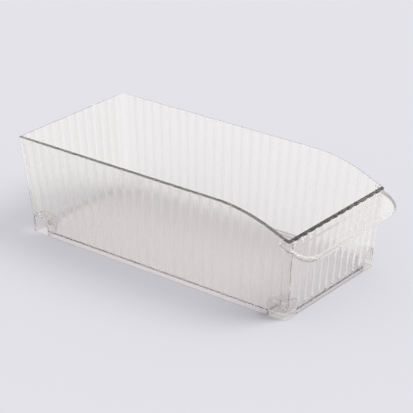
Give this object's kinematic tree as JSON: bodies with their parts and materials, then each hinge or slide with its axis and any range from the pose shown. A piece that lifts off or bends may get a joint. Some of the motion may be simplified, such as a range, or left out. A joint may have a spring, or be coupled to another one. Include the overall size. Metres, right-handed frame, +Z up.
{
  "type": "fridge organizer bin",
  "caption": "Long open storage bin of clear moulded plastic with fluted drafted walls, a rim that swoops down to a front pull, a skirted floor and corner feet.",
  "frame": {"origin": "middle of the part's box, at the level of the surface that it stands on", "axes": "+X to the right as seen from the front, +Y from the front pull to the back, +Z up"},
  "size_m": [0.1542, 0.3395, 0.1],
  "materials": {
    "clear_plastic": "clear, colourless, glossy moulded plastic"
  },
  "bodies": {
    "root": {"wall_shell": "clear_plastic", "base_tray": "clear_plastic", "front_pull": "clear_plastic", "front_left_foot": "clear_plastic", "front_right_foot": "clear_plastic", "back_left_foot": "clear_plastic", "back_right_foot": "clear_plastic"}
  },
  "joints": []
}
